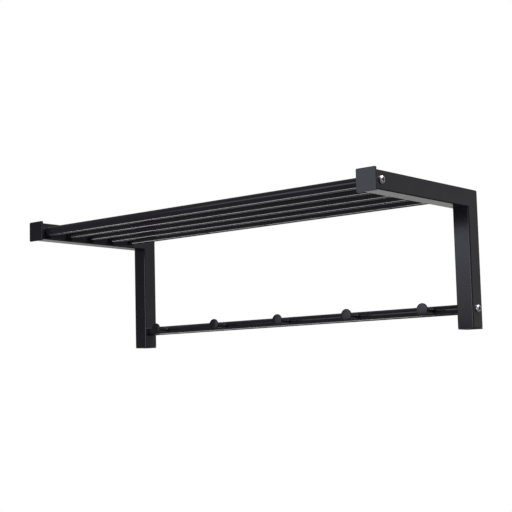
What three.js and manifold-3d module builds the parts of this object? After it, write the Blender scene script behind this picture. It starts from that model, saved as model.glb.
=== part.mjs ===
// Wall-mounted hat and coat rack: two hollow square brackets carry five shelf tubes and one hook rail.
// Millimetres. X runs along the tubes, Y points into the wall, Z points up.
// The origin is on the wall, midway between the brackets, level with the top of the arms.
// Left and right are those of a person who faces the rack; left is -X.

import * as THREE from 'three';
import { mergeVertices } from 'three/addons/utils/BufferGeometryUtils.js';
import Module from 'manifold-3d';

const wasm = await Module();
wasm.setup();

// ---- Driving dimensions ----

const WIDTH = 800; // over the outer sides of the two brackets
const DEPTH = 308; // from the wall to the face of the front caps
const HEIGHT = 235.5; // from the top of the arms to the underside of the foot plugs
const GAP = 0.3; // between pieces that touch

const SECTION = 31; // bracket tube, square
const WALL = 2;
const EDGE_R = 2.2; // rounding of the bracket tube's long edges
const CORNER_R = 3; // rounding of the ground weld at the top of the leg

const CAP_PROUD = 3; // how far a front cap stands out around the arm
const CAP_RISE = 0.6; // how far it sits above the arm's middle
const CAP_T = 3;
const CAP_CORNER_R = 2.5;
const CAP_BEVEL = 0.8;
const CAP_SPIGOT = 5;
const FOOT_T = 2;
const FOOT_SPIGOT = 10;
const SPIGOT_WALL = 2;

const TUBE_R = 8.75;
const TUBE_WALL = 1.5;
const TUBE_COUNT = 5;
const TUBE_PITCH = 55;
const RAIL_DROP = 201.7; // from the top of the arms to the rail's axis

const HOOK_COUNT = 5;
const HOOK_PITCH = 158;
const HOOK_TILT = THREE.MathUtils.degToRad(3); // each hook rises towards its tip
const HOOK_REACH = 39.5; // from the rail's axis to the middle of the hook's rim
const STEM_BASE_R = 5.4;
const STEM_TIP_R = 4.7;
const HEAD_R = 11;
const HEAD_RIM = 3.4; // thickness at the rim
const HEAD_DOME = 1.2;
const HEAD_EDGE_R = 1.1;
const HEAD_FILLET = 2;
const STUD_R = 3.5; // stud of the hook, inside the rail
const STUD_TAIL = 5; // how far the stud goes past the rail's axis

const INSERT_LENGTH = 15; // threaded insert in a tube's end
const KEY_ENTRY_R = 5.2; // keyhole: round entry for a wall screw's head
const KEY_SLOT_R = 2.7;
const KEY_RISE = 9;
const KEY_HEIGHTS = [-72, -165];

const M6 = { shankR: 3, length: 14, headR: 6.3, headH: 3.9 };
const M4 = { shankR: 2, length: 15.5, headR: 4, headH: 2.4 };

const ROUND = 32; // facets around a tube
const SMALL = 16; // facets around a hook, a screw or a small hole

// ---- Positions worked out from them ----

const ARM_FRONT = -DEPTH + CAP_T + GAP;
const LEG_BOTTOM = -HEIGHT + FOOT_T + GAP;
const TUBE_Z = -SECTION / 2;
const FRONT_TUBE_Y = ARM_FRONT + SECTION / 2;
const RAIL_Y = -SECTION / 2;
const RAIL_Z = -RAIL_DROP;
const TUBE_HALF = WIDTH / 2 - WALL - GAP;
const BORE = 2 * SECTION; // longer than anything a cutter has to pass

// ---- Looks ----

const POWDER_COAT = { color: 0x1b1b20, roughness: 0.48, metalness: 0.25 };
const BLACK_NYLON = { color: 0x17171a, roughness: 0.6, metalness: 0 };
const ZINC = { color: 0xc4c6c9, roughness: 0.3, metalness: 1 };

// ---- Solids ----

const solid = (geometry) => {
  const bare = geometry.clone();
  bare.deleteAttribute('normal');
  bare.deleteAttribute('uv');
  const merged = mergeVertices(bare, 1e-4);
  return new wasm.Manifold(new wasm.Mesh({
    numProp: 3,
    vertProperties: Float32Array.from(merged.attributes.position.array),
    triVerts: Uint32Array.from(merged.index.array),
  }));
};

const geometryOf = (manifold) => {
  const mesh = manifold.getMesh();
  const geometry = new THREE.BufferGeometry();
  geometry.setAttribute('position', new THREE.BufferAttribute(Float32Array.from(mesh.vertProperties), 3));
  geometry.setIndex(new THREE.BufferAttribute(Uint32Array.from(mesh.triVerts), 1));
  geometry.computeVertexNormals();
  return geometry;
};

const box = (low, high) => {
  const size = high.map((value, axis) => value - low[axis]);
  const centre = high.map((value, axis) => (value + low[axis]) / 2);
  return new THREE.BoxGeometry(...size).translate(...centre);
};

// A round bar along X from one x to another.
const barX = (radius, from, to, y, z, facets) =>
  new THREE.CylinderGeometry(radius, radius, to - from, facets)
    .rotateZ(Math.PI / 2)
    .translate((from + to) / 2, y, z);

// A round bar along Y, which the keyholes and the hooks' local axes use.
const barY = (radius, from, to, facets) =>
  new THREE.CylinderGeometry(radius, radius, to - from, facets).translate(0, (from + to) / 2, 0);

const lathe = (points, facets) =>
  new THREE.LatheGeometry(points.map(([radius, along]) => new THREE.Vector2(radius, along)), facets);

const arc = (centreR, centreS, radius, fromDeg, toDeg, steps) =>
  Array.from({ length: steps + 1 }, (_, i) => {
    const angle = THREE.MathUtils.degToRad(fromDeg + ((toDeg - fromDeg) * i) / steps);
    return [centreR + radius * Math.cos(angle), centreS + radius * Math.sin(angle)];
  });

// A hollow tube along X, centred on x = 0.
const tubeX = (outerR, innerR, half, y, z) =>
  lathe([[innerR, -half], [outerR, -half], [outerR, half], [innerR, half], [innerR, -half]], ROUND)
    .rotateZ(-Math.PI / 2)
    .translate(0, y, z);

// ---- Brackets ----

// The side outline of a bracket, drawn in Y and Z, with its outer faces set in by the given amount.
const bracketOutline = (inset, overrun, cornerR) => {
  const outer = -inset;
  const inner = -SECTION + inset;
  const outline = new THREE.Shape();
  outline.moveTo(ARM_FRONT - overrun, outer);
  outline.lineTo(ARM_FRONT - overrun, inner);
  outline.lineTo(inner, inner);
  outline.lineTo(inner, LEG_BOTTOM - overrun);
  outline.lineTo(outer, LEG_BOTTOM - overrun);
  outline.lineTo(outer, outer - cornerR);
  if (cornerR > 0) {
    outline.absarc(outer - cornerR, outer - cornerR, cornerR, 0, Math.PI / 2, false);
  }
  return outline;
};

// Shape coordinates become Y and Z, and the extrusion runs along X from the given x.
const extrudeX = (shape, fromX, width, roundR) => {
  const geometry = new THREE.ExtrudeGeometry(shape, {
    depth: width - 2 * roundR,
    curveSegments: 4,
    bevelEnabled: roundR > 0,
    bevelThickness: roundR,
    bevelSize: roundR,
    bevelOffset: -roundR,
    bevelSegments: 3,
  });
  const toRow = new THREE.Matrix4().makeBasis(
    new THREE.Vector3(0, 1, 0),
    new THREE.Vector3(0, 0, 1),
    new THREE.Vector3(1, 0, 0),
  );
  return geometry.applyMatrix4(toRow).translate(fromX + roundR, 0, 0);
};

const tubeY = (index) => FRONT_TUBE_Y + index * TUBE_PITCH;

const keyhole = (x, z) => {
  const entry = barY(KEY_ENTRY_R, -2 * WALL, WALL, SMALL).translate(x, 0, z);
  const slotEnd = barY(KEY_SLOT_R, -2 * WALL, WALL, SMALL).translate(x, 0, z + KEY_RISE);
  const slot = box([x - KEY_SLOT_R, -2 * WALL, z], [x + KEY_SLOT_R, WALL, z + KEY_RISE]);
  return solid(entry).add(solid(slotEnd)).add(solid(slot));
};

const bracket = (side) => {
  const outerX = (side * WIDTH) / 2;
  const innerX = outerX - side * SECTION;
  const lowX = Math.min(outerX, innerX);
  const overrun = SECTION;
  const trim = box([lowX - 1, ARM_FRONT, LEG_BOTTOM], [lowX + SECTION + 1, 1, 1]);
  let body = solid(extrudeX(bracketOutline(0, overrun, CORNER_R), lowX, SECTION, EDGE_R))
    .intersect(solid(trim))
    .subtract(solid(extrudeX(bracketOutline(WALL, 2 * overrun, 0), lowX + WALL, SECTION - 2 * WALL, 0)));

  const throughInnerWall = [innerX - side, innerX + side * 2 * WALL].sort((a, b) => a - b);
  const throughOuterWall = [outerX - side * 2 * WALL, outerX + side].sort((a, b) => a - b);
  for (let i = 0; i < TUBE_COUNT; i += 1) {
    body = body.subtract(solid(barX(TUBE_R + GAP, ...throughInnerWall, tubeY(i), TUBE_Z, ROUND)));
  }
  body = body.subtract(solid(barX(TUBE_R + GAP, ...throughInnerWall, RAIL_Y, RAIL_Z, ROUND)));
  for (const [y, z] of [[FRONT_TUBE_Y, TUBE_Z], [RAIL_Y, RAIL_Z]]) {
    body = body.subtract(solid(barX(M6.shankR + GAP, ...throughOuterWall, y, z, SMALL)));
  }
  for (const z of KEY_HEIGHTS) {
    body = body.subtract(keyhole((outerX + innerX) / 2, z));
  }
  return geometryOf(body);
};

// ---- Caps and plugs ----

const roundedSquare = (width, cornerR) => {
  const half = width / 2;
  const straight = half - cornerR;
  const shape = new THREE.Shape();
  shape.moveTo(half, -straight);
  shape.lineTo(half, straight);
  shape.absarc(straight, straight, cornerR, 0, Math.PI / 2, false);
  shape.lineTo(-straight, half);
  shape.absarc(-straight, straight, cornerR, Math.PI / 2, Math.PI, false);
  shape.lineTo(-half, -straight);
  shape.absarc(-straight, -straight, cornerR, Math.PI, 1.5 * Math.PI, false);
  shape.lineTo(straight, -half);
  shape.absarc(straight, -straight, cornerR, 1.5 * Math.PI, 2 * Math.PI, false);
  return shape;
};

// A square plate below z = 0, with a hollow square spigot standing up from it. The plate can sit off centre.
const plug = (width, thickness, cornerR, bevel, spigot, offsetY) => {
  const plate = new THREE.ExtrudeGeometry(roundedSquare(width, cornerR), {
    depth: thickness - 2 * bevel,
    curveSegments: 3,
    bevelEnabled: true,
    bevelThickness: bevel,
    bevelSize: bevel,
    bevelOffset: -bevel,
    bevelSegments: 1,
  }).translate(0, offsetY, bevel - thickness);
  const outerHalf = SECTION / 2 - WALL - GAP;
  const innerHalf = outerHalf - SPIGOT_WALL;
  const stem = box([-outerHalf, -outerHalf, -thickness / 2], [outerHalf, outerHalf, spigot]);
  const hollow = box([-innerHalf, -innerHalf, 0], [innerHalf, innerHalf, 2 * spigot]);
  return geometryOf(solid(plate).add(solid(stem)).subtract(solid(hollow)));
};

const sideX = (side) => (side * (WIDTH - SECTION)) / 2;

// Turned so that its spigot points at the wall, which turns the plug's Y downwards.
const frontCap = (side) =>
  plug(SECTION + 2 * CAP_PROUD, CAP_T, CAP_CORNER_R, CAP_BEVEL, CAP_SPIGOT, -CAP_RISE)
    .rotateX(-Math.PI / 2)
    .translate(sideX(side), ARM_FRONT - GAP, -SECTION / 2);

const footPlug = (side) =>
  plug(SECTION, FOOT_T, EDGE_R, CAP_BEVEL / 2, FOOT_SPIGOT, 0)
    .translate(sideX(side), -SECTION / 2, LEG_BOTTOM - GAP);

// ---- Tubes, inserts and screws ----

const shelfTube = (index) =>
  tubeX(TUBE_R, TUBE_R - TUBE_WALL, TUBE_HALF, tubeY(index), TUBE_Z);

// The insert is flush with the end of its tube.
const insert = (side, y, z) => {
  const outerR = TUBE_R - TUBE_WALL - GAP;
  const boreR = M6.shankR + GAP;
  const half = INSERT_LENGTH / 2;
  const ring = [[boreR, -half], [outerR, -half], [outerR, half], [boreR, half], [boreR, -half]];
  return lathe(ring, SMALL)
    .rotateZ(-Math.PI / 2)
    .translate(side * (TUBE_HALF - half), y, z);
};

// A pan-head screw along Y: the underside of its head is at 0 and its cross recess faces +Y.
const panScrew = ({ shankR, length, headR, headH }) => {
  const tip = shankR / 5;
  const crown = [[headR, 0.4 * headH], [0.9 * headR, 0.75 * headH], [0.65 * headR, headH]];
  const profile = [
    [0, -length], [shankR - tip, -length], [shankR, tip - length], [shankR, 0], [headR, 0],
    ...crown, [0, headH],
  ];
  const recessFloor = 0.4 * headH;
  const long = 0.55 * headR;
  const narrow = 0.14 * headR;
  const slotA = box([-long, recessFloor, -narrow], [long, 2 * headH, narrow]);
  const slotB = box([-narrow, recessFloor, -long], [narrow, 2 * headH, long]);
  return solid(lathe(profile, SMALL)).subtract(solid(slotA).add(solid(slotB)));
};

const bracketScrew = (side, y, z) =>
  geometryOf(panScrew(M6))
    .rotateZ((-side * Math.PI) / 2)
    .translate(side * (WIDTH / 2 + GAP), y, z);

// ---- Hook rail and hooks ----

// The hooks are made along +Y from the rail's axis. This turns them forwards and slightly up.
const placeOnRail = (geometry, index) => {
  const x = (index - (HOOK_COUNT - 1) / 2) * HOOK_PITCH;
  return geometry.rotateX(Math.PI - HOOK_TILT).translate(x, RAIL_Y, RAIL_Z);
};

const hookRail = () => {
  const innerR = TUBE_R - TUBE_WALL;
  let rail = solid(tubeX(TUBE_R, innerR, TUBE_HALF, RAIL_Y, RAIL_Z));
  for (let i = 0; i < HOOK_COUNT; i += 1) {
    const frontHole = barY(STUD_R + GAP, 0, BORE, SMALL);
    const rearHole = barY(M4.shankR + GAP, -BORE, 0, SMALL);
    rail = rail
      .subtract(solid(placeOnRail(frontHole, i)))
      .subtract(solid(placeOnRail(rearHole, i)));
  }
  return geometryOf(rail);
};

const hook = (index) => {
  const rimBack = HOOK_REACH - HEAD_RIM / 2;
  const rimFront = HOOK_REACH + HEAD_RIM / 2;
  const edgeR = HEAD_R - HEAD_EDGE_R;
  const profile = [
    [0, TUBE_R / 2],
    [STEM_BASE_R, TUBE_R / 2],
    [STEM_BASE_R, TUBE_R + 1],
    ...arc(STEM_TIP_R + HEAD_FILLET, rimBack - HEAD_FILLET, HEAD_FILLET, 180, 90, 2),
    ...arc(edgeR, rimBack + HEAD_EDGE_R, HEAD_EDGE_R, -90, 0, 2),
    ...arc(edgeR, rimFront - HEAD_EDGE_R, HEAD_EDGE_R, 0, 70, 2),
    [0, rimFront + HEAD_DOME],
  ];
  const railSeat = new THREE.CylinderGeometry(TUBE_R + GAP, TUBE_R + GAP, 4 * STEM_BASE_R, ROUND)
    .rotateZ(Math.PI / 2);
  const stud = barY(STUD_R, -STUD_TAIL, TUBE_R + 2, SMALL);
  const bore = barY(M4.shankR + GAP, -TUBE_R, M4.length / 2, SMALL);
  const body = solid(lathe(profile, SMALL))
    .subtract(solid(railSeat))
    .add(solid(stud))
    .subtract(solid(bore));
  return placeOnRail(geometryOf(body), index);
};

const hookScrew = (index) => {
  const fromBehind = geometryOf(panScrew(M4))
    .rotateX(Math.PI)
    .translate(0, -(TUBE_R + GAP), 0);
  return placeOnRail(fromBehind, index);
};

// ---- Assembly ----

const group = new THREE.Group();

const addPiece = (name, geometry, look) => {
  const mesh = new THREE.Mesh(geometry, new THREE.MeshStandardMaterial(look));
  mesh.name = name;
  group.add(mesh);
};

for (const [label, side] of [['left', -1], ['right', 1]]) {
  addPiece(`${label}_bracket`, bracket(side), POWDER_COAT);
  addPiece(`${label}_front_cap`, frontCap(side), POWDER_COAT);
  addPiece(`${label}_foot_plug`, footPlug(side), BLACK_NYLON);
  addPiece(`front_tube_${label}_insert`, insert(side, FRONT_TUBE_Y, TUBE_Z), ZINC);
  addPiece(`front_tube_${label}_screw`, bracketScrew(side, FRONT_TUBE_Y, TUBE_Z), ZINC);
  addPiece(`hook_rail_${label}_insert`, insert(side, RAIL_Y, RAIL_Z), ZINC);
  addPiece(`hook_rail_${label}_screw`, bracketScrew(side, RAIL_Y, RAIL_Z), ZINC);
}
for (let i = 0; i < TUBE_COUNT; i += 1) {
  addPiece(`shelf_tube_${i + 1}`, shelfTube(i), POWDER_COAT);
}
addPiece('hook_rail', hookRail(), POWDER_COAT);
for (let i = 0; i < HOOK_COUNT; i += 1) {
  addPiece(`hook_${i + 1}`, hook(i), POWDER_COAT);
  addPiece(`hook_${i + 1}_screw`, hookScrew(i), ZINC);
}

export default group;
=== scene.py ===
import math

import bpy
from mathutils import Matrix, Vector


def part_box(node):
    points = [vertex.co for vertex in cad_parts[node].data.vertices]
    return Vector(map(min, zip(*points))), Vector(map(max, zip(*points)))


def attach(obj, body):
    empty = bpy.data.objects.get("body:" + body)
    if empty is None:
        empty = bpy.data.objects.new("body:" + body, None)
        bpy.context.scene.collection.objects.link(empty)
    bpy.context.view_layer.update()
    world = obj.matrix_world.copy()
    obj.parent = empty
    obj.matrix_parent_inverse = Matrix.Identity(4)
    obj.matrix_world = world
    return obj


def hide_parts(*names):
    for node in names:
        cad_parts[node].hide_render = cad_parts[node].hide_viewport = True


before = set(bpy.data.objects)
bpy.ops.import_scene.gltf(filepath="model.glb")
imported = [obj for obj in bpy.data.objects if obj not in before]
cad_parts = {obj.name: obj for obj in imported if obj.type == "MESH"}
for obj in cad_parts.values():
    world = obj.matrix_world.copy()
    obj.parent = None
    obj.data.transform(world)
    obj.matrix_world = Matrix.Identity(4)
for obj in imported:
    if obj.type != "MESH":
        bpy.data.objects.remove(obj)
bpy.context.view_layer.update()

# Wall hat and coat rack. Metres, +Z up, +Y into the wall, +X to the right of a person who faces it.

# ---- Sizes that the boxes of the CAD nodes don't give ----

BRACKET_WALL = 0.002
BRACKET_EDGE_R = 0.0022
BRACKET_CORNER_R = 0.003
BORE_CORNER_R = 0.0005
SOCKET_GAP = 0.0003
CAP_THICKNESS = 0.003
CAP_CORNER_R = 0.0025
CAP_EDGE_R = 0.0008
FOOT_THICKNESS = 0.002
FOOT_EDGE_R = 0.0005
SPIGOT_WALL = 0.002
SPIGOT_CORNER_R = SPIGOT_WALL / 4
TUBE_WALL = 0.0015
TUBE_CHAMFER = 0.0003
KEY_ENTRY_R = 0.0052
KEY_SLOT_R = 0.0027
KEY_RISE = 0.009
KEY_HEIGHTS = (-0.072, -0.165)
HOOK_TILT = math.radians(3)
HOOK_RIM_REACH = 0.0395
HOOK_RIM_THICKNESS = 0.0034
HOOK_HEAD_R = 0.011
HOOK_DOME = 0.0004
HOOK_EDGE_R = 0.0011
HOOK_FILLET = 0.002
HOOK_STEM_BASE_R = 0.0054
HOOK_STEM_TIP_R = 0.0047
HOOK_SADDLE_RISE = 0.001
HOOK_DOME_LAST_ANGLE = 0.03
SCREW_HOLE_R = 0.0033

M6_HEAD = {"shank_r": 0.003, "length": 0.014, "head_r": 0.0063, "head_h": 0.0039}
M4_HEAD = {"shank_r": 0.002, "length": 0.0155, "head_r": 0.004, "head_h": 0.0024}
# Shares of the head's height and radius: its upright rim, and the flat on top of its crown.
HEAD_RIM_SHARE = 0.25
CROWN_FLAT_SHARE = 0.45
CROWN_END_ANGLE = 0.48 * math.pi
# One blade of the recess, from the bottom up: height by the head's height, then half length and
# half width by the head's radius. The last row is above the head, so that the cut is open.
RECESS_ROWS = ((0.15, 0.2, 0.12), (0.55, 0.46, 0.16), (1.2, 0.7, 0.21))

TUBE_SIDES = 96
HOOK_SIDES = 96
SCREW_SIDES = 64
HOLE_SIDES = 64
ROUND_STEPS = 6
SMALL_ROUND_STEPS = 2
FILLET_STEPS = 8
DOME_STEPS = 10
SHARP_ANGLE = math.radians(32)


# ---- Mesh helpers ----


def make_object(name, points, faces):
    mesh = bpy.data.meshes.new(name)
    mesh.from_pydata([tuple(p) for p in points], [], faces)
    mesh.update()
    piece = bpy.data.objects.new(name, mesh)
    bpy.context.scene.collection.objects.link(piece)
    return piece


def loft(name, rings, closed=False):
    """Joins rings of equal length into a skin. A closed loft joins the last ring to the first."""
    count = len(rings[0])
    points = [p for ring in rings for p in ring]
    pairs = list(zip(range(len(rings) - 1), range(1, len(rings))))
    if closed:
        pairs.append((len(rings) - 1, 0))
    faces = []
    for a, b in pairs:
        for i in range(count):
            j = (i + 1) % count
            faces.append((a * count + i, a * count + j, b * count + j, b * count + i))
    if not closed:
        faces.append(tuple(reversed(range(count))))
        last = (len(rings) - 1) * count
        faces.append(tuple(range(last, last + count)))
    return make_object(name, points, faces)


def quarter(steps, start=0.0, end=math.pi / 2):
    """Evenly spaced angles, both ends included. Without start and end they span a quarter turn."""
    return [start + (end - start) * i / steps for i in range(steps + 1)]


def arc(centre_u, centre_v, radius, start, end, steps):
    turns = quarter(steps, start, end)
    return [(centre_u + radius * math.cos(t), centre_v + radius * math.sin(t)) for t in turns]


def circle(radius, along, sides, placement):
    turns = (2 * math.pi * i / sides for i in range(sides))
    return [placement @ Vector((radius * math.cos(t), radius * math.sin(t), along)) for t in turns]


def turned(name, profile, sides, placement, closed=False):
    """A turned solid: profile is a list of (radius, distance along the local Z axis)."""
    return loft(name, [circle(r, s, sides, placement) for r, s in profile], closed)


def pointing(direction, origin):
    """Takes local +Z to a direction and keeps local +X across it."""
    z = Vector(direction).normalized()
    side = Vector((1, 0, 0)) if abs(z.x) < 0.9 else Vector((0, 1, 0))
    y = z.cross(side).normalized()
    x = y.cross(z)
    turn = Matrix((x, y, z)).transposed().to_4x4()
    return Matrix.Translation(Vector(origin)) @ turn


def rod(name, radius, start, end):
    start, end = Vector(start), Vector(end)
    placement = pointing(end - start, start)
    return turned(name, [(radius, 0), (radius, (end - start).length)], HOLE_SIDES, placement)


def block(name, low, high):
    x0, y0, z0 = low
    x1, y1, z1 = high
    bottom = [Vector((x0, y0, z0)), Vector((x1, y0, z0)), Vector((x1, y1, z0)), Vector((x0, y1, z0))]
    top = [p + Vector((0, 0, z1 - z0)) for p in bottom]
    return loft(name, [bottom, top])


def carve(piece, cutters):
    """Cuts each cutter out of the piece and leaves one plain mesh."""
    for cutter in cutters:
        cut = piece.modifiers.new("cut", "BOOLEAN")
        cut.operation = "DIFFERENCE"
        cut.solver = "EXACT"
        cut.object = cutter
    graph = bpy.context.evaluated_depsgraph_get()
    carved = bpy.data.meshes.new_from_object(piece.evaluated_get(graph))
    piece.modifiers.clear()
    old = piece.data
    piece.data = carved
    carved.name = piece.name
    bpy.data.meshes.remove(old)
    for cutter in cutters:
        mesh = cutter.data
        bpy.data.objects.remove(cutter)
        bpy.data.meshes.remove(mesh)


def shade(piece):
    """Smooth rounds, flat faces that stay flat, and crisp edges where two faces meet sharply."""
    piece.data.shade_smooth()
    piece.data.set_sharp_from_angle(angle=SHARP_ANGLE)
    level = piece.modifiers.new("flat_faces", "WEIGHTED_NORMAL")
    level.keep_sharp = True


def settle(piece, node, material):
    shade(piece)
    piece.data.materials.clear()
    piece.data.materials.append(material)
    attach(piece, "root")
    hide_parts(node)


# ---- Materials ----


class Nodes:
    """A short way to write a node tree."""

    def __init__(self, name):
        self.material = bpy.data.materials.new(name)
        self.material.use_nodes = True
        self.tree = self.material.node_tree
        self.shader = self.tree.nodes["Principled BSDF"]
        self.where = self.tree.nodes.new("ShaderNodeTexCoord").outputs["Object"]

    def link(self, source, target):
        self.tree.links.new(source, target)

    def noise(self, scale, detail, roughness=0.5):
        node = self.tree.nodes.new("ShaderNodeTexNoise")
        node.inputs["Scale"].default_value = scale
        node.inputs["Detail"].default_value = detail
        node.inputs["Roughness"].default_value = roughness
        self.link(self.where, node.inputs["Vector"])
        return node.outputs["Fac"]

    def ramp(self, source, low, high, dark, light):
        """Maps a value from low..high to dark..light, which are numbers or colours."""
        if isinstance(dark, float):
            node = self.tree.nodes.new("ShaderNodeMapRange")
            for socket, value in zip(("From Min", "From Max", "To Min", "To Max"), (low, high, dark, light)):
                node.inputs[socket].default_value = value
            self.link(source, node.inputs["Value"])
            return node.outputs["Result"]
        node = self.tree.nodes.new("ShaderNodeValToRGB")
        first, last = node.color_ramp.elements
        first.position, first.color = low, (*dark, 1)
        last.position, last.color = high, (*light, 1)
        self.link(source, node.inputs["Fac"])
        return node.outputs["Color"]

    def mix(self, factor, a, b):
        node = self.tree.nodes.new("ShaderNodeMix")
        node.data_type = "RGBA"
        self.link(factor, node.inputs["Factor"])
        self.link(a, node.inputs["A"])
        if isinstance(b, tuple):
            node.inputs["B"].default_value = (*b, 1)
        else:
            self.link(b, node.inputs["B"])
        return node.outputs["Result"]

    def math(self, operation, a, b):
        node = self.tree.nodes.new("ShaderNodeMath")
        node.operation = operation
        for socket, value in zip(node.inputs, (a, b)):
            if isinstance(value, float):
                socket.default_value = value
            else:
                self.link(value, socket)
        return node.outputs["Value"]

    def bump(self, height, distance, strength, before=None):
        node = self.tree.nodes.new("ShaderNodeBump")
        node.inputs["Distance"].default_value = distance
        node.inputs["Strength"].default_value = strength
        self.link(height, node.inputs["Height"])
        if before:
            self.link(before, node.inputs["Normal"])
        return node.outputs["Normal"]

    def edges(self):
        """1 on worn outer edges, 0 elsewhere."""
        geometry = self.tree.nodes.new("ShaderNodeNewGeometry")
        return self.ramp(geometry.outputs["Pointiness"], 0.53, 0.62, 0.0, 1.0)

    def openness(self, distance):
        """0 deep in a recess of the piece itself, 1 in the open."""
        node = self.tree.nodes.new("ShaderNodeAmbientOcclusion")
        node.samples = 8
        node.only_local = True
        node.inputs["Distance"].default_value = distance
        return self.ramp(node.outputs["AO"], 0.5, 0.9, 0.0, 1.0)


def powder_coat():
    """Black powder coat: fine orange peel, a few pale specks and edges rubbed a little smoother."""
    deep, pale = (0.008, 0.008, 0.009), (0.012, 0.012, 0.013)
    speck_colour, worn_colour = (0.045, 0.045, 0.047), (0.05, 0.05, 0.052)
    n = Nodes("black_powder_coat")
    tone = n.ramp(n.noise(35, 4), 0.35, 0.7, deep, pale)
    specks = n.ramp(n.noise(1500, 2, 0.7), 0.66, 0.74, 0.0, 0.5)
    colour = n.mix(specks, tone, speck_colour)
    wear = n.edges()
    colour = n.mix(n.math("MULTIPLY", wear, 0.35), colour, worn_colour)
    n.link(colour, n.shader.inputs["Base Color"])
    rough = n.ramp(n.noise(60, 5, 0.6), 0.3, 0.75, 0.15, 0.19)
    rough = n.math("SUBTRACT", rough, n.math("MULTIPLY", wear, 0.06))
    n.link(rough, n.shader.inputs["Roughness"])
    n.shader.inputs["Specular IOR Level"].default_value = 0.5
    peel = n.bump(n.noise(420, 3, 0.55), 0.0004, 0.04)
    grain = n.bump(n.noise(2200, 2, 0.6), 0.0001, 0.08, peel)
    n.link(grain, n.shader.inputs["Normal"])
    return n.material


def zinc_plate():
    """Bright zinc on steel: slight blue and yellow drift, a fine grain, and painted shade in the recesses.
    """
    bluish, yellowish = (0.78, 0.79, 0.81), (0.88, 0.87, 0.84)
    # Painted shade: these dark colours fill the cross recess where the openness mask finds it deep.
    recess_shade_dark, recess_shade_light = (0.05, 0.05, 0.048), (0.10, 0.10, 0.095)
    recess_reach = 0.003
    n = Nodes("zinc_plate")
    tone = n.ramp(n.noise(180, 3), 0.35, 0.65, bluish, yellowish)
    recess_shade = n.ramp(n.noise(900, 3), 0.3, 0.7, recess_shade_dark, recess_shade_light)
    # Painted shade is mixed into the base colour inside the recess, and the zinc tone stays in the open.
    n.link(n.mix(n.openness(recess_reach), recess_shade, tone), n.shader.inputs["Base Color"])
    n.shader.inputs["Metallic"].default_value = 1
    rough = n.ramp(n.noise(700, 4, 0.7), 0.3, 0.8, 0.4, 0.58)
    n.link(rough, n.shader.inputs["Roughness"])
    n.link(n.bump(n.noise(3000, 3, 0.6), 0.00005, 0.3), n.shader.inputs["Normal"])
    return n.material


def black_nylon():
    """Moulded black nylon: soft sheen and a fine spark-eroded grain."""
    deep, pale = (0.010, 0.010, 0.011), (0.017, 0.017, 0.018)
    n = Nodes("black_nylon")
    tone = n.ramp(n.noise(90, 3), 0.3, 0.7, deep, pale)
    n.link(tone, n.shader.inputs["Base Color"])
    n.link(n.ramp(n.noise(120, 4, 0.6), 0.3, 0.7, 0.5, 0.62), n.shader.inputs["Roughness"])
    n.link(n.bump(n.noise(1800, 3, 0.6), 0.0001, 0.4), n.shader.inputs["Normal"])
    return n.material


# ---- Brackets ----

ARM_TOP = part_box("left_bracket")[1].z
ARM_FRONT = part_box("left_bracket")[0].y
LEG_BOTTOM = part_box("left_bracket")[0].z
LEG_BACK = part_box("left_bracket")[1].y
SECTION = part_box("left_bracket")[1].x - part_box("left_bracket")[0].x
SHELF_TUBES = ["shelf_tube_%d" % (i + 1) for i in range(5)]
HOOKS = ["hook_%d" % (i + 1) for i in range(5)]


def middle(node):
    low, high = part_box(node)
    return (low + high) / 2


def bracket_outline(x, inset, corner_r, overrun=0.0):
    """The L of a bracket at one x, with its long faces set in. Overrun lengthens its two ends."""
    outer = -inset
    inner = -SECTION + inset
    ends = [
        (ARM_FRONT - overrun, outer),
        (ARM_FRONT - overrun, inner),
        (inner, inner),
        (inner, LEG_BOTTOM - overrun),
        (outer, LEG_BOTTOM - overrun),
    ]
    centre = outer - corner_r
    corner = arc(centre, centre, corner_r, 0, math.pi / 2, ROUND_STEPS)
    return [Vector((x, LEG_BACK + y, ARM_TOP + z)) for y, z in ends + corner]


def bracket_body(name, low_x):
    rings = []
    for t in quarter(ROUND_STEPS):
        inset = BRACKET_EDGE_R * (1 - math.sin(t))
        x = low_x + BRACKET_EDGE_R * (1 - math.cos(t))
        rings.append(bracket_outline(x, inset, BRACKET_CORNER_R - inset))
    for t in reversed(quarter(ROUND_STEPS)):
        inset = BRACKET_EDGE_R * (1 - math.sin(t))
        x = low_x + SECTION - BRACKET_EDGE_R * (1 - math.cos(t))
        rings.append(bracket_outline(x, inset, BRACKET_CORNER_R - inset))
    return loft(name, rings)


def keyhole_cutters(x, z):
    front = LEG_BACK - 2 * BRACKET_WALL
    back = LEG_BACK + BRACKET_WALL
    entry = rod("entry", KEY_ENTRY_R, (x, front, z), (x, back, z))
    end = rod("slot_end", KEY_SLOT_R, (x, front, z + KEY_RISE), (x, back, z + KEY_RISE))
    slot = block("slot", (x - KEY_SLOT_R, front, z), (x + KEY_SLOT_R, back, z + KEY_RISE))
    return [entry, end, slot]


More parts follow.
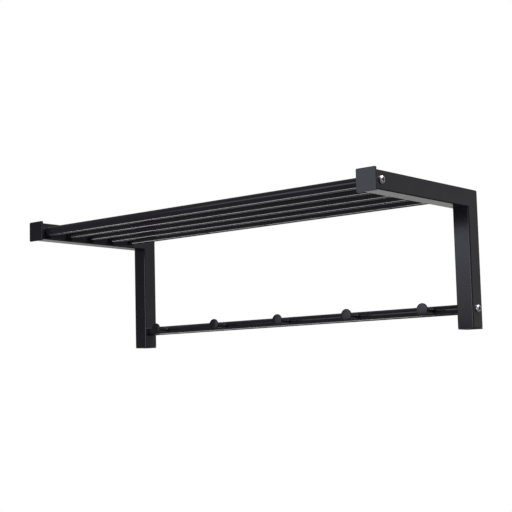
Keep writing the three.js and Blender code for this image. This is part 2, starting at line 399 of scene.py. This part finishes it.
def build_bracket(node, side):
    low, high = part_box(node)
    outer_x = high.x if side > 0 else low.x
    inner_x = low.x if side > 0 else high.x
    body = bracket_body(node + "_tube", low.x)
    bore_ends = (low.x + BRACKET_WALL, high.x - BRACKET_WALL)
    bore = loft("bore", [bracket_outline(x, BRACKET_WALL, BORE_CORNER_R, SECTION) for x in bore_ends])
    cutters = [bore]
    for tube in SHELF_TUBES + ["hook_rail"]:
        centre = middle(tube)
        radius = (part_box(tube)[1].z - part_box(tube)[0].z) / 2 + SOCKET_GAP
        start = Vector((inner_x - side * BRACKET_WALL, centre.y, centre.z))
        end = Vector((inner_x + side * 2 * BRACKET_WALL, centre.y, centre.z))
        cutters.append(rod("socket", radius, start, end))
    for tube in ("shelf_tube_1", "hook_rail"):
        centre = middle(tube)
        start = Vector((outer_x - side * 2 * BRACKET_WALL, centre.y, centre.z))
        end = Vector((outer_x + side * BRACKET_WALL, centre.y, centre.z))
        cutters.append(rod("screw_hole", SCREW_HOLE_R, start, end))
    for z in KEY_HEIGHTS:
        cutters += keyhole_cutters((low.x + high.x) / 2, z)
    carve(body, cutters)
    return body


# ---- Caps and foot plugs ----


def rounded_square(half, corner_r, placement, rise, along):
    straight = half - corner_r
    ring = []
    for turn in range(4):
        start = turn * math.pi / 2
        centre_x = straight if turn in (0, 3) else -straight
        centre_y = straight if turn in (0, 1) else -straight
        for t in quarter(ROUND_STEPS, start, start + math.pi / 2):
            flat = (centre_x + corner_r * math.cos(t), centre_y + corner_r * math.sin(t) + rise, along)
            ring.append(placement @ Vector(flat))
    return ring


def build_plug(name, placement, half, thickness, corner_r, edge_r, spigot, rise):
    """A rounded square plate that faces local -Z, with a hollow spigot towards +Z."""
    rings = []
    for t in quarter(ROUND_STEPS):
        inset = edge_r * (1 - math.sin(t))
        along = -thickness + edge_r * (1 - math.cos(t))
        rings.append(rounded_square(half - inset, corner_r - inset, placement, rise, along))
    for t in reversed(quarter(SMALL_ROUND_STEPS)):
        inset = edge_r / 2 * (1 - math.sin(t))
        along = -edge_r / 2 * (1 - math.cos(t))
        rings.append(rounded_square(half - inset, corner_r - inset, placement, rise, along))
    outer = SECTION / 2 - BRACKET_WALL - SOCKET_GAP
    inner = outer - SPIGOT_WALL
    for width, along in ((outer, 0), (outer, spigot), (inner, spigot), (inner, 0)):
        rings.append(rounded_square(width, SPIGOT_CORNER_R, placement, 0, along))
    return loft(name, rings)


def build_front_cap(node):
    low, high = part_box(node)
    half = (high.x - low.x) / 2
    rise = (low.z + high.z) / 2 - (ARM_TOP - SECTION / 2)
    plate_back = low.y + CAP_THICKNESS
    # Local Z points at the wall, local Y down.
    turn = Matrix(((1, 0, 0), (0, 0, 1), (0, -1, 0))).to_4x4()
    placement = Matrix.Translation((middle(node).x, plate_back, ARM_TOP - SECTION / 2)) @ turn
    spigot = high.y - plate_back
    name = node + "_moulding"
    return build_plug(name, placement, half, CAP_THICKNESS, CAP_CORNER_R, CAP_EDGE_R, spigot, -rise)


def build_foot_plug(node):
    low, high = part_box(node)
    half = (high.x - low.x) / 2
    plate_top = low.z + FOOT_THICKNESS
    placement = Matrix.Translation((middle(node).x, middle(node).y, plate_top))
    spigot = high.z - plate_top
    name = node + "_moulding"
    return build_plug(name, placement, half, FOOT_THICKNESS, BRACKET_EDGE_R, FOOT_EDGE_R, spigot, 0)


# ---- Tubes, rail and hooks ----


def build_tube(node):
    low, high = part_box(node)
    outer = (high.z - low.z) / 2
    inner = outer - TUBE_WALL
    length = high.x - low.x
    placement = pointing((1, 0, 0), (low.x, middle(node).y, middle(node).z))
    profile = [
        (outer - TUBE_CHAMFER, 0),
        (outer, TUBE_CHAMFER),
        (outer, length - TUBE_CHAMFER),
        (outer - TUBE_CHAMFER, length),
        (inner, length),
        (inner, 0),
    ]
    return turned(node + "_steel", profile, TUBE_SIDES, placement, closed=True)


def rail_axis():
    centre = middle("hook_rail")
    return centre, (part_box("hook_rail")[1].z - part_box("hook_rail")[0].z) / 2


def hook_direction():
    return Vector((0, -math.cos(HOOK_TILT), math.sin(HOOK_TILT)))


def saddle(radius, rail_r, placement):
    """A ring of the stem that lies on the rail's round surface."""
    ring = []
    for i in range(HOOK_SIDES):
        turn = 2 * math.pi * i / HOOK_SIDES
        along_rail, across = radius * math.cos(turn), radius * math.sin(turn)
        ring.append(placement @ Vector((along_rail, across, math.sqrt(rail_r**2 - across**2))))
    return ring


def build_hook(node):
    centre, rail_r = rail_axis()
    placement = pointing(hook_direction(), (middle(node).x, centre.y, centre.z))
    back = HOOK_RIM_REACH - HOOK_RIM_THICKNESS / 2
    front = HOOK_RIM_REACH + HOOK_RIM_THICKNESS / 2
    edge = HOOK_HEAD_R - HOOK_EDGE_R
    rings = [saddle(HOOK_STEM_BASE_R, rail_r, placement)]
    profile = [(HOOK_STEM_BASE_R, rail_r + HOOK_SADDLE_RISE)]
    fillet_r = HOOK_STEM_TIP_R + HOOK_FILLET
    profile += arc(fillet_r, back - HOOK_FILLET, HOOK_FILLET, math.pi, math.pi / 2, FILLET_STEPS)
    profile += arc(edge, back + HOOK_EDGE_R, HOOK_EDGE_R, -math.pi / 2, 0, ROUND_STEPS)
    dome_r = (edge**2 + HOOK_DOME**2) / (2 * HOOK_DOME)
    dome_start = math.asin(edge / dome_r)
    profile += arc(edge, front - HOOK_EDGE_R, HOOK_EDGE_R, 0, math.pi / 2 - dome_start, ROUND_STEPS)
    for t in quarter(DOME_STEPS, dome_start, HOOK_DOME_LAST_ANGLE)[1:]:
        profile.append((dome_r * math.sin(t), front + HOOK_DOME - dome_r * (1 - math.cos(t))))
    rings += [circle(r, s, HOOK_SIDES, placement) for r, s in profile]
    return loft(node + "_peg", rings)


# ---- Screws ----


def build_screw(name, placement, shank_r, length, head_r, head_h):
    """A pan-head screw. Local Z runs out of the head, and the head's underside is at 0."""
    tip = shank_r / 5
    rim = HEAD_RIM_SHARE * head_h
    profile = [
        (shank_r - tip, -length),
        (shank_r, tip - length),
        (shank_r, 0),
        (head_r, 0),
        (head_r, rim),
    ]
    crown = (1 - HEAD_RIM_SHARE) * head_h
    for t in quarter(DOME_STEPS, 0, CROWN_END_ANGLE)[1:]:
        radius = head_r * (CROWN_FLAT_SHARE + (1 - CROWN_FLAT_SHARE) * math.cos(t))
        profile.append((radius, rim + crown * math.sin(t)))
    screw = turned(name, profile, SCREW_SIDES, placement)
    carve(screw, [recess_cutter(placement, head_r, head_h, turn) for turn in (0, math.pi / 2)])
    return screw


def recess_cutter(placement, head_r, head_h, turn):
    """One blade of the cross recess, wide at the top and narrowing downwards."""
    spin = placement @ Matrix.Rotation(turn, 4, "Z")
    rings = []
    for along, long, narrow in RECESS_ROWS:
        corners = ((long, narrow), (-long, narrow), (-long, -narrow), (long, -narrow))
        rings.append([spin @ Vector((u * head_r, v * head_r, along * head_h)) for u, v in corners])
    return loft("recess", rings)


def bracket_screw_placement(node):
    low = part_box(node)[0]
    outwards = 1 if low.x > 0 else -1
    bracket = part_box("right_bracket" if outwards > 0 else "left_bracket")
    seat = bracket[1].x if outwards > 0 else bracket[0].x
    origin = (seat + outwards * SOCKET_GAP, middle(node).y, middle(node).z)
    return pointing((outwards, 0, 0), origin)


def hook_screw_placement(node):
    centre, rail_r = rail_axis()
    backwards = -hook_direction()
    origin = Vector((middle(node).x, centre.y, centre.z)) + backwards * (rail_r + SOCKET_GAP)
    return pointing(backwards, origin)


# ---- Build everything ----

coat = powder_coat()
zinc = zinc_plate()
nylon = black_nylon()

for label, side in (("left", -1), ("right", 1)):
    settle(build_bracket(label + "_bracket", side), label + "_bracket", coat)
    settle(build_front_cap(label + "_front_cap"), label + "_front_cap", coat)
    settle(build_foot_plug(label + "_foot_plug"), label + "_foot_plug", nylon)
    for tube in ("front_tube", "hook_rail"):
        screw_node = "%s_%s_screw" % (tube, label)
        screw = build_screw(screw_node + "_steel", bracket_screw_placement(screw_node), **M6_HEAD)
        settle(screw, screw_node, zinc)
        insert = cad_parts["%s_%s_insert" % (tube, label)]
        insert.data.materials.clear()
        insert.data.materials.append(zinc)

for node in SHELF_TUBES + ["hook_rail"]:
    settle(build_tube(node), node, coat)

for node in HOOKS:
    settle(build_hook(node), node, coat)
    screw_node = node + "_screw"
    screw = build_screw(screw_node + "_steel", hook_screw_placement(screw_node), **M4_HEAD)
    settle(screw, screw_node, zinc)

# ---- Stage, light and camera ----

FLOOR_LEVEL = -1.8
FLOOR_HALF = 1.0
FLOOR_THICKNESS = 0.02

# Where most of the lights point: about the middle of the rack.
RACK_MIDDLE = (0, -0.15, -0.1)

# The photo's camera, as the camera fit gives it. Turns are in degrees.
CAMERA_PLACE = (1.4161, -1.8050, -0.3276)
CAMERA_YAW = 39.90
CAMERA_PITCH = 6.304
CAMERA_ROLL = -1.439
CAMERA_LENS_MM = 85.2
CAMERA_SENSOR_MM = 36
CAMERA_REACH = 50

ROOM_TINT = (0.93, 0.9, 1, 1)
ROOM_STRENGTH = 0.158


def build_floor():
    """A pale floor for views from above. Diffuse and glossy rays from the object pass through it."""
    floor = block(
        "studio_floor",
        (-FLOOR_HALF, -FLOOR_HALF, FLOOR_LEVEL - FLOOR_THICKNESS),
        (FLOOR_HALF, FLOOR_HALF, FLOOR_LEVEL),
    )
    material = bpy.data.materials.new("pale_floor")
    material.use_nodes = True
    shader = material.node_tree.nodes["Principled BSDF"]
    shader.inputs["Base Color"].default_value = (0.85, 0.85, 0.85, 1)
    shader.inputs["Roughness"].default_value = 0.8
    shader.inputs["Emission Color"].default_value = (1, 1, 0.96, 1)
    shader.inputs["Emission Strength"].default_value = 0.35
    floor.data.materials.append(material)
    floor.visible_diffuse = False
    floor.visible_glossy = False


def softbox(name, place, target, width, height, power, colour):
    """A soft rectangular light that the camera doesn't see. Sizes in metres, power in watts."""
    data = bpy.data.lights.new(name, "AREA")
    data.shape = "RECTANGLE"
    data.size = width
    data.size_y = height
    data.energy = power
    data.color = colour
    lamp = bpy.data.objects.new(name, data)
    bpy.context.scene.collection.objects.link(lamp)
    lamp.location = place
    lamp.rotation_euler = (Vector(target) - Vector(place)).to_track_quat("-Z", "Y").to_euler()
    lamp.visible_camera = False


def build_world():
    """White behind the object for the camera, and a dim even light for everything else."""
    world = bpy.data.worlds.new("studio")
    bpy.context.scene.world = world
    world.use_nodes = True
    tree = world.node_tree
    backdrop = tree.nodes["Background"]
    backdrop.inputs["Color"].default_value = (1, 1, 1, 1)
    backdrop.inputs["Strength"].default_value = 1.0
    room = tree.nodes.new("ShaderNodeBackground")
    room.inputs["Color"].default_value = ROOM_TINT
    room.inputs["Strength"].default_value = ROOM_STRENGTH
    seen = tree.nodes.new("ShaderNodeLightPath")
    choose = tree.nodes.new("ShaderNodeMixShader")
    tree.links.new(seen.outputs["Is Camera Ray"], choose.inputs["Fac"])
    tree.links.new(room.outputs["Background"], choose.inputs[1])
    tree.links.new(backdrop.outputs["Background"], choose.inputs[2])
    tree.links.new(choose.outputs["Shader"], tree.nodes["World Output"].inputs["Surface"])


def build_camera():
    data = bpy.data.cameras.new("camera")
    data.sensor_width = CAMERA_SENSOR_MM
    data.lens = CAMERA_LENS_MM
    data.clip_end = CAMERA_REACH
    camera = bpy.data.objects.new("camera", data)
    bpy.context.scene.collection.objects.link(camera)
    yaw = Matrix.Rotation(math.radians(CAMERA_YAW), 4, "Z")
    # Without pitch the camera looks level, a quarter turn up from Blender's straight down.
    pitch = Matrix.Rotation(math.pi / 2 + math.radians(CAMERA_PITCH), 4, "X")
    roll = Matrix.Rotation(math.radians(CAMERA_ROLL), 4, "Z")
    camera.matrix_world = Matrix.Translation(CAMERA_PLACE) @ (yaw @ pitch @ roll)
    bpy.context.scene.camera = camera


build_floor()
build_world()
# name, place, target, width, height, power, tint. Powers and tints come from a fit to the photo's
# tones, rounded, and some were then changed.
softbox("front", (0.0, -3.15, -0.1), RACK_MIDDLE, 1.3, 2.2, 41, (0.79, 0.75, 1.0))
softbox("front_left", (-1.5, -2.75, 0.6), RACK_MIDDLE, 1.3, 1.3, 4.9, (0.88, 0.88, 1.0))
softbox("near_left", (-0.3, -1.2, 0.2), (0.3, -0.15, -0.1), 0.4, 0.4, 0.3, (0.7, 0.8, 1.0))
softbox("low_strip", (-1.09, 0.13, -1.29), (-1.09, -0.15, 0.0), 1.4, 0.24, 7.0, (1.0, 0.97, 0.98))
softbox("low_back", (-1.9, 2.05, -0.6), RACK_MIDDLE, 2.2, 0.5, 1.5, (1.0, 1.0, 0.92))
softbox("back_right", (2.0, 2.6, 0.35), RACK_MIDDLE, 1.6, 1.6, 1.5, (1.0, 0.97, 0.95))
softbox("top_back", (1.5, 0.7, 2.4), RACK_MIDDLE, 1.6, 1.6, 105, (0.9, 0.89, 1.0))
build_camera()

bpy.context.scene.view_settings.view_transform = "Standard"
bpy.context.scene.view_settings.look = "None"
